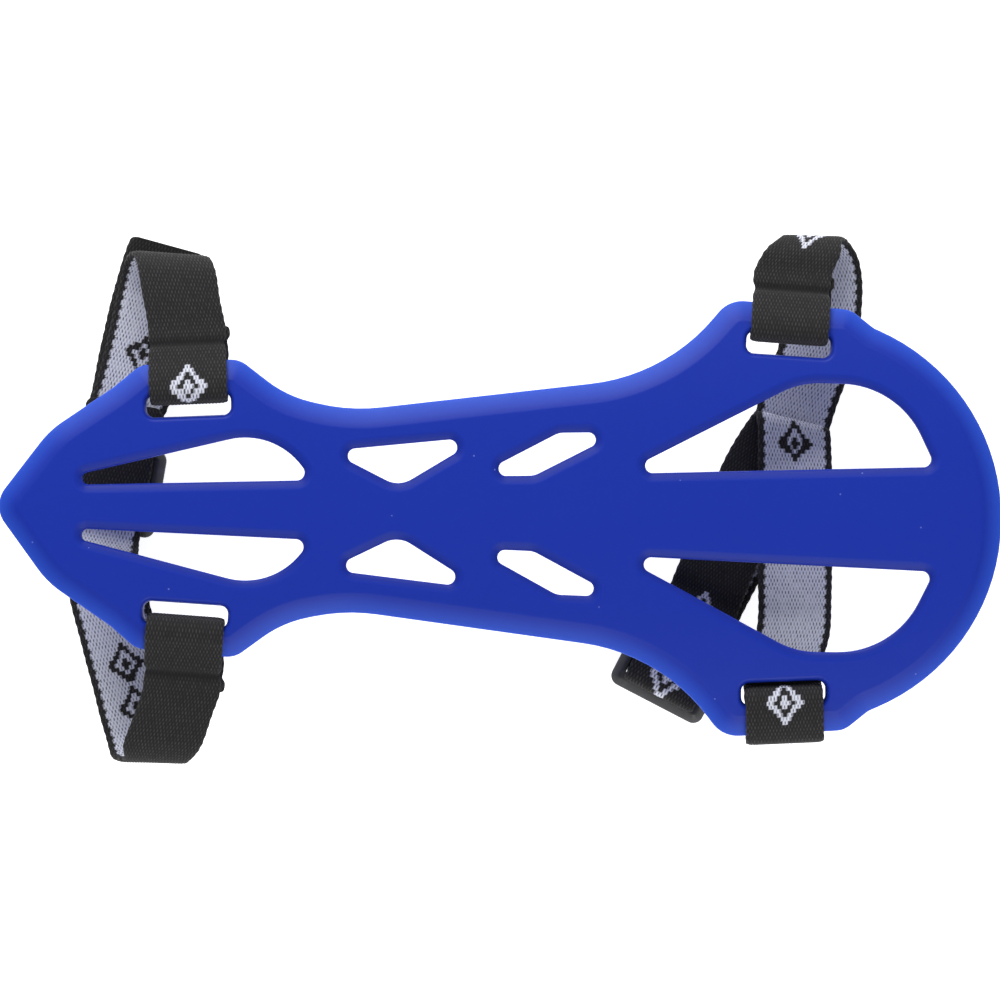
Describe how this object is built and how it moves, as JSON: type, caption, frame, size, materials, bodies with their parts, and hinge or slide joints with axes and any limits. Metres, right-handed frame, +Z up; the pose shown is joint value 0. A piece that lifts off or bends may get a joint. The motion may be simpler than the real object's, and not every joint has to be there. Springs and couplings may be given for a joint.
{
  "type": "archery arm guard",
  "caption": "Flexible moulded forearm guard with a pointed wrist end, a round wide end, cut-out vents and two elastic straps with sliders, lying face up",
  "frame": {"origin": "on the table, under the middle of the guard's box", "axes": "+X from the narrow wrist end to the wide end, +Y across the arm, +Z up out of the plate's face"},
  "size_m": [0.1908, 0.1034, 0.0207],
  "materials": {
    "plate": "semi-matte moulded blue",
    "webbing": "black knitted elastic, grey-white on its inner face",
    "slider": "satin black"
  },
  "bodies": {
    "root": {"guard_plate": "plate", "wrist_strap_upper": "webbing", "wrist_strap_lower": "webbing", "wrist_slider": "slider", "forearm_strap_upper": "webbing", "forearm_strap_lower": "webbing", "forearm_slider": "slider"}
  },
  "joints": []
}
